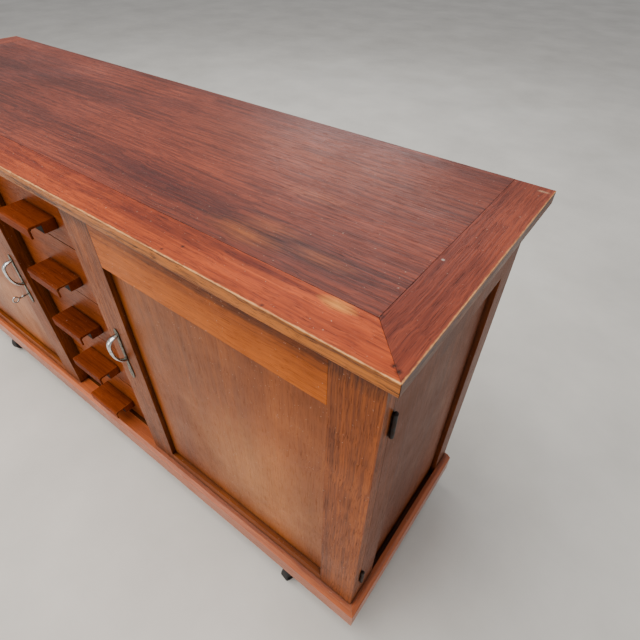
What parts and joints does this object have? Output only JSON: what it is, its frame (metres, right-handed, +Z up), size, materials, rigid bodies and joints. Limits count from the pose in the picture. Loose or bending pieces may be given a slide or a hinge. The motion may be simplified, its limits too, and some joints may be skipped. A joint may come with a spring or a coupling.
{
  "type": "sideboard cabinet",
  "caption": "Oak sideboard cabinet on swivel casters: mitred-border top, hinged panelled doors and a centre column of shallow drawers with hooded wooden pulls.",
  "frame": {"origin": "centre of the overall bounding box in plan, at floor level, doors and drawers closed", "axes": "+X along the length to the right as seen from the front, +Z up, the doors and drawers face -Y"},
  "size_m": [1.682, 0.5232, 0.908],
  "materials": {
    "top_oak": "stained and waxed oak, open grain, satin",
    "border_oak": "stained and waxed oak, satin, worn pale along the edges",
    "frame_oak": "stained oak, satin",
    "rail_oak": "stained oak, lighter, satin",
    "panel_oak": "stained oak, even grain, satin",
    "case_oak": "stained oak, dull satin",
    "drawer_oak": "stained oak, satin",
    "pull_oak": "oiled orange-brown oak, satin",
    "plinth_oak": "stained oak, satin, worn along the upper edge",
    "inner_wood": "raw pale softwood, matt",
    "iron": "blackened iron, dull",
    "nickel": "nickel plate, bright with dull patches",
    "rubber_black": "hard black rubber, matt"
  },
  "bodies": {
    "case": {"top_centre_panel": "top_oak", "top_front_border": "border_oak", "top_left_border": "border_oak", "top_right_border": "border_oak", "case_bottom": "inner_wood", "back_panel": "inner_wood", "rail_under_top": "frame_oak", "plinth_front": "plinth_oak", "plinth_left": "plinth_oak", "plinth_right": "plinth_oak", "end_frame_left": "case_oak", "end_panel_left": "case_oak", "partition_left": "inner_wood", "hinge_left_low_case_leaf": "iron", "hinge_left_high_case_leaf": "iron", "end_frame_right": "case_oak", "end_panel_right": "case_oak", "partition_right": "inner_wood", "hinge_right_low_case_leaf": "iron", "hinge_right_high_case_leaf": "iron", "caster_front_left_plate": "iron", "caster_front_right_plate": "iron", "caster_back_left_plate": "iron", "caster_back_right_plate": "iron"},
    "door_left": {"door_left_hinge_stile": "frame_oak", "door_left_meeting_stile": "frame_oak", "door_left_top_rail": "rail_oak", "door_left_bottom_rail": "rail_oak", "door_left_panel": "panel_oak", "door_left_handle": "nickel", "hinge_left_low_door_leaf": "iron", "hinge_left_high_door_leaf": "iron"},
    "door_right": {"door_right_hinge_stile": "frame_oak", "door_right_meeting_stile": "frame_oak", "door_right_top_rail": "rail_oak", "door_right_bottom_rail": "rail_oak", "door_right_panel": "panel_oak", "door_right_handle": "nickel", "hinge_right_low_door_leaf": "iron", "hinge_right_high_door_leaf": "iron"},
    "key": {"key": "nickel"},
    "drawer_1": {"drawer_1": "drawer_oak", "drawer_1_pull": "pull_oak"},
    "drawer_2": {"drawer_2": "drawer_oak", "drawer_2_pull": "pull_oak"},
    "drawer_3": {"drawer_3": "drawer_oak", "drawer_3_pull": "pull_oak"},
    "drawer_4": {"drawer_4": "drawer_oak", "drawer_4_pull": "pull_oak"},
    "drawer_5": {"drawer_5": "drawer_oak", "drawer_5_pull": "pull_oak"},
    "caster_front_left_fork": {"caster_front_left_fork": "iron"},
    "caster_front_left_wheel": {"caster_front_left_wheel": "rubber_black"},
    "caster_front_right_fork": {"caster_front_right_fork": "iron"},
    "caster_front_right_wheel": {"caster_front_right_wheel": "rubber_black"},
    "caster_back_left_fork": {"caster_back_left_fork": "iron"},
    "caster_back_left_wheel": {"caster_back_left_wheel": "rubber_black"},
    "caster_back_right_fork": {"caster_back_right_fork": "iron"},
    "caster_back_right_wheel": {"caster_back_right_wheel": "rubber_black"}
  },
  "joints": [
    {"name": "door_left_hinge", "type": "hinge", "parent": "case", "child": "door_left", "pos_m": [-0.8242, -0.193, 0.513], "axis": [0, 0, -1], "range_deg": [0, 180]},
    {"name": "door_right_hinge", "type": "hinge", "parent": "case", "child": "door_right", "pos_m": [0.8242, -0.193, 0.513], "axis": [0, 0, 1], "range_deg": [0, 180]},
    {"name": "key_turn", "type": "hinge", "parent": "door_left", "child": "key", "pos_m": [-0.213, -0.21765, 0.478], "axis": [0, -1, 0], "range_deg": [0, 90]},
    {"name": "drawer_1_slide", "type": "slide", "parent": "case", "child": "drawer_1", "axis": [0, -1, 0], "range_m": [0, 0.33]},
    {"name": "drawer_2_slide", "type": "slide", "parent": "case", "child": "drawer_2", "axis": [0, -1, 0], "range_m": [0, 0.33]},
    {"name": "drawer_3_slide", "type": "slide", "parent": "case", "child": "drawer_3", "axis": [0, -1, 0], "range_m": [0, 0.33]},
    {"name": "drawer_4_slide", "type": "slide", "parent": "case", "child": "drawer_4", "axis": [0, -1, 0], "range_m": [0, 0.33]},
    {"name": "drawer_5_slide", "type": "slide", "parent": "case", "child": "drawer_5", "axis": [0, -1, 0], "range_m": [0, 0.33]},
    {"name": "caster_front_left_swivel", "type": "hinge", "parent": "case", "child": "caster_front_left_fork", "pos_m": [-0.6553, -0.18285, 0.076], "axis": [0, 0, 1], "continuous": true},
    {"name": "caster_front_left_roll", "type": "hinge", "parent": "caster_front_left_fork", "child": "caster_front_left_wheel", "pos_m": [-0.64638, -0.20727, 0.029], "axis": [0.9394, 0.3429, 0], "continuous": true},
    {"name": "caster_front_right_swivel", "type": "hinge", "parent": "case", "child": "caster_front_right_fork", "pos_m": [0.6553, -0.18285, 0.076], "axis": [0, 0, 1], "continuous": true},
    {"name": "caster_front_right_roll", "type": "hinge", "parent": "caster_front_right_fork", "child": "caster_front_right_wheel", "pos_m": [0.65013, -0.20833, 0.029], "axis": [0.9801, -0.1987, 0], "continuous": true},
    {"name": "caster_back_left_swivel", "type": "hinge", "parent": "case", "child": "caster_back_left_fork", "pos_m": [-0.6553, 0.17895, 0.076], "axis": [0, 0, 1], "continuous": true},
    {"name": "caster_back_left_roll", "type": "hinge", "parent": "caster_back_left_fork", "child": "caster_back_left_wheel", "pos_m": [-0.65141, 0.15324, 0.029], "axis": [0.9888, 0.1494, 0], "continuous": true},
    {"name": "caster_back_right_swivel", "type": "hinge", "parent": "case", "child": "caster_back_right_fork", "pos_m": [0.6553, 0.17895, 0.076], "axis": [0, 0, 1], "continuous": true},
    {"name": "caster_back_right_roll", "type": "hinge", "parent": "caster_back_right_fork", "child": "caster_back_right_wheel", "pos_m": [0.64762, 0.15411, 0.029], "axis": [0.9553, -0.2955, 0], "continuous": true}
  ]
}
